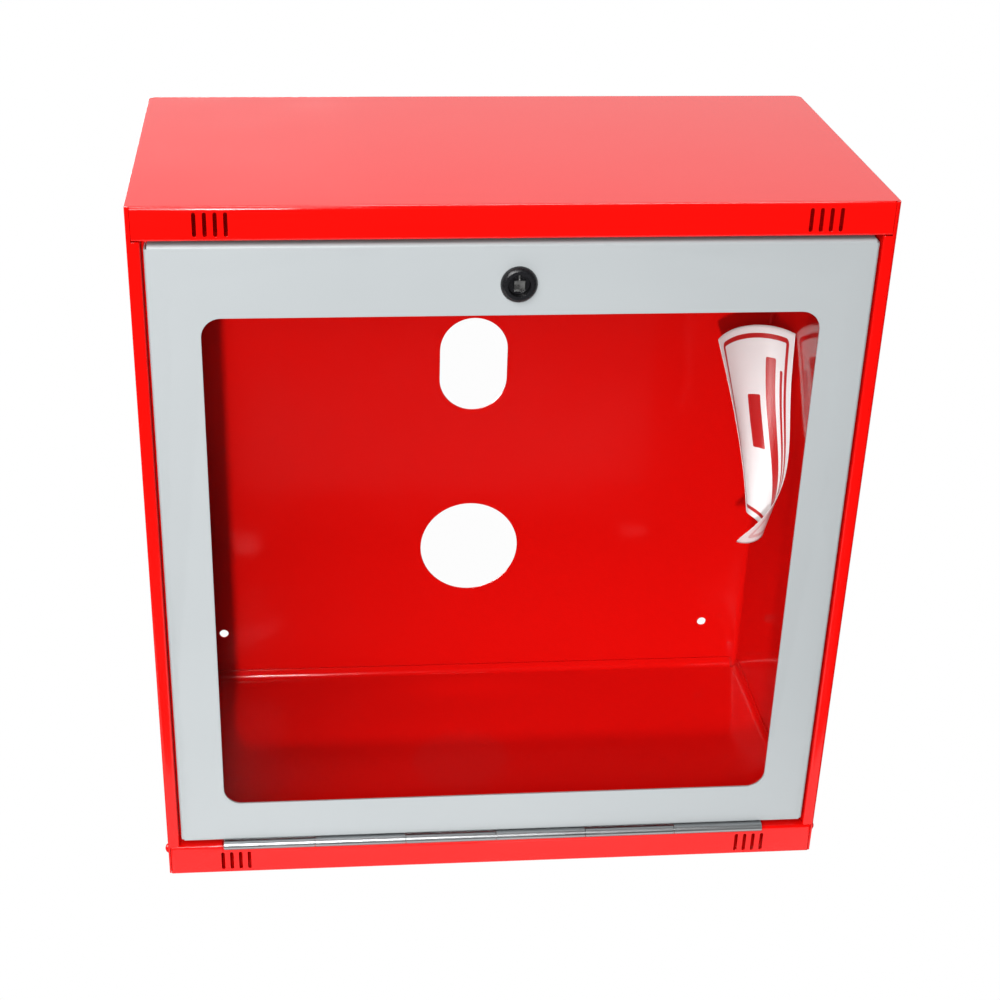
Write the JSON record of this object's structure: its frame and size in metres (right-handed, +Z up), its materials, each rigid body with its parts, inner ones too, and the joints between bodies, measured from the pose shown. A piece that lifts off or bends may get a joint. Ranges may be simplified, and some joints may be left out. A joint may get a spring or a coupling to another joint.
{
  "type": "standpipe cabinet",
  "caption": "Red sheet-steel cabinet for a standpipe valve, with a grey windowed door that folds down on a hinge along its lower edge and a quarter-turn square-key lock.",
  "frame": {"origin": "on the rear face of the back, on its centre line, 250 mm above the base, between the two pipe holes", "axes": "+Y into the wall behind, +Z up, +X to the right as seen from the front; the door faces -Y"},
  "size_m": [0.576, 0.3109, 0.6],
  "materials": {
    "red_paint": "smooth glossy powder coat",
    "grey_paint": "smooth satin powder coat",
    "bare_steel": "drawn, bright",
    "zinc": "bright zinc plate",
    "black_plastic": "moulded, half gloss",
    "rubber": "closed-cell foam rubber",
    "clear_pane": "clear and polished",
    "label_white": "printed white film"
  },
  "bodies": {
    "case": {"case_wrap": "red_paint", "top_panel": "red_paint", "floor_panel": "red_paint", "bottom_rail": "red_paint", "rail_rivet_left": "red_paint", "rail_rivet_right": "red_paint", "hinge_fixed_leaf": "bare_steel", "hinge_pin": "bare_steel", "label_sheet": "label_white"},
    "door": {"hinge_door_leaf": "bare_steel", "door_panel": "grey_paint", "window_pane": "clear_pane", "pane_gasket": "rubber", "lock_housing": "black_plastic", "lock_nut": "zinc", "pane_clip_left_lower": "zinc", "pane_clip_left_upper": "zinc", "pane_clip_left_top": "zinc", "pane_clip_right_lower": "zinc", "pane_clip_right_upper": "zinc", "pane_clip_right_top": "zinc", "pane_stud_left_lower": "zinc", "pane_stud_left_upper": "zinc", "pane_stud_left_top": "zinc", "pane_stud_right_lower": "zinc", "pane_stud_right_upper": "zinc", "pane_stud_right_top": "zinc", "pane_nut_left_lower": "zinc", "pane_nut_left_upper": "zinc", "pane_nut_left_top": "zinc", "pane_nut_right_lower": "zinc", "pane_nut_right_upper": "zinc", "pane_nut_right_top": "zinc"},
    "lock": {"lock_rotor": "zinc", "lock_cam": "zinc", "cam_washer": "zinc", "cam_screw": "zinc"}
  },
  "joints": [
    {"name": "door_hinge", "type": "hinge", "parent": "case", "child": "door", "pos_m": [0, -0.3071, -0.2189], "axis": [1, 0, 0], "range_deg": [0, 180]},
    {"name": "lock_turn", "type": "hinge", "parent": "door", "child": "lock", "pos_m": [0.0018, -0.305, 0.2894], "axis": [0, 1, 0], "range_deg": [0, 90]}
  ]
}
